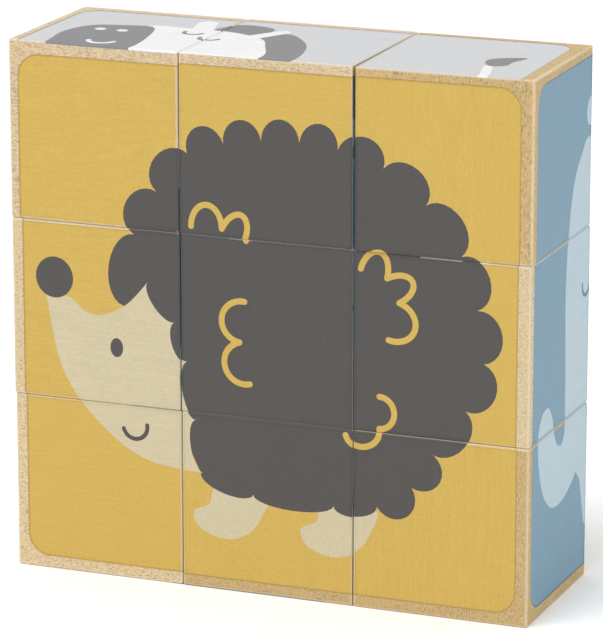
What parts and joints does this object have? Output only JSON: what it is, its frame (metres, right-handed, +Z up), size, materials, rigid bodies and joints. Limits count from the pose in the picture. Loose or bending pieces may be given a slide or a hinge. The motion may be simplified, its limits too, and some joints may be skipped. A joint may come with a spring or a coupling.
{
  "type": "picture cube puzzle",
  "caption": "Loose solid wooden cubes set as an upright square wall; each face holds a printed piece of an animal picture, and turning the cubes builds another picture.",
  "frame": {"origin": "on the ground, under the middle of the standing wall", "axes": "+Z up; +X to the right of a person who looks at the front picture; -Y is the way the front picture faces, so +Y runs through the wall's thickness to the back"},
  "size_m": [0.121, 0.0406, 0.12],
  "materials": {
    "pale_wood": "matte",
    "golden_wood": "matte",
    "mustard_print": "satin",
    "grey_print": "satin",
    "blue_print": "satin",
    "sage_print": "satin",
    "coral_print": "satin"
  },
  "bodies": {
    "bottom_centre": {"bottom_centre_cube": "golden_wood", "bottom_centre_front_print": "mustard_print", "bottom_centre_back_print": "sage_print", "bottom_centre_upper_print": "grey_print", "bottom_centre_lower_print": "coral_print", "bottom_centre_side_prints": "blue_print"},
    "top_left": {"top_left_cube": "pale_wood", "top_left_front_print": "mustard_print", "top_left_back_print": "sage_print", "top_left_upper_print": "grey_print", "top_left_lower_print": "coral_print", "top_left_side_prints": "blue_print"},
    "top_centre": {"top_centre_cube": "pale_wood", "top_centre_front_print": "mustard_print", "top_centre_back_print": "sage_print", "top_centre_upper_print": "grey_print", "top_centre_lower_print": "coral_print", "top_centre_side_prints": "blue_print"},
    "top_right": {"top_right_cube": "golden_wood", "top_right_front_print": "mustard_print", "top_right_back_print": "sage_print", "top_right_upper_print": "grey_print", "top_right_lower_print": "coral_print", "top_right_side_prints": "blue_print"},
    "middle_left": {"middle_left_cube": "pale_wood", "middle_left_front_print": "mustard_print", "middle_left_back_print": "sage_print", "middle_left_upper_print": "grey_print", "middle_left_lower_print": "coral_print", "middle_left_side_prints": "blue_print"},
    "middle_centre": {"middle_centre_cube": "pale_wood", "middle_centre_front_print": "mustard_print", "middle_centre_back_print": "sage_print", "middle_centre_upper_print": "grey_print", "middle_centre_lower_print": "coral_print", "middle_centre_side_prints": "blue_print"},
    "middle_right": {"middle_right_cube": "golden_wood", "middle_right_front_print": "mustard_print", "middle_right_back_print": "sage_print", "middle_right_upper_print": "grey_print", "middle_right_lower_print": "coral_print", "middle_right_side_prints": "blue_print"},
    "bottom_left": {"bottom_left_cube": "pale_wood", "bottom_left_front_print": "mustard_print", "bottom_left_back_print": "sage_print", "bottom_left_upper_print": "grey_print", "bottom_left_lower_print": "coral_print", "bottom_left_side_prints": "blue_print"},
    "bottom_right": {"bottom_right_cube": "golden_wood", "bottom_right_front_print": "mustard_print", "bottom_right_back_print": "sage_print", "bottom_right_upper_print": "grey_print", "bottom_right_lower_print": "coral_print", "bottom_right_side_prints": "blue_print"}
  },
  "joints": [
    {"name": "left_column_turn", "type": "hinge", "parent": "bottom_centre", "child": "bottom_left", "pos_m": [-0.06005, -0.0199, 0], "axis": [0, 0, 1], "range_deg": [0, 180]},
    {"name": "right_column_turn", "type": "hinge", "parent": "bottom_centre", "child": "bottom_right", "pos_m": [0.0603, -0.0201, 0], "axis": [0, 0, -1], "range_deg": [0, 180]},
    {"name": "middle_left_pull", "type": "slide", "parent": "bottom_left", "child": "middle_left", "axis": [0, -1, 0], "range_m": [0, 0.05]},
    {"name": "middle_centre_pull", "type": "slide", "parent": "bottom_centre", "child": "middle_centre", "axis": [0, -1, 0], "range_m": [0, 0.05]},
    {"name": "middle_right_pull", "type": "slide", "parent": "bottom_right", "child": "middle_right", "axis": [0, -1, 0], "range_m": [0, 0.05]},
    {"name": "top_left_lift", "type": "slide", "parent": "middle_left", "child": "top_left", "axis": [0, 0, 1], "range_m": [0, 0.05]},
    {"name": "top_centre_lift", "type": "slide", "parent": "middle_centre", "child": "top_centre", "axis": [0, 0, 1], "range_m": [0, 0.05]},
    {"name": "top_right_lift", "type": "slide", "parent": "middle_right", "child": "top_right", "axis": [0, 0, 1], "range_m": [0, 0.05]}
  ]
}
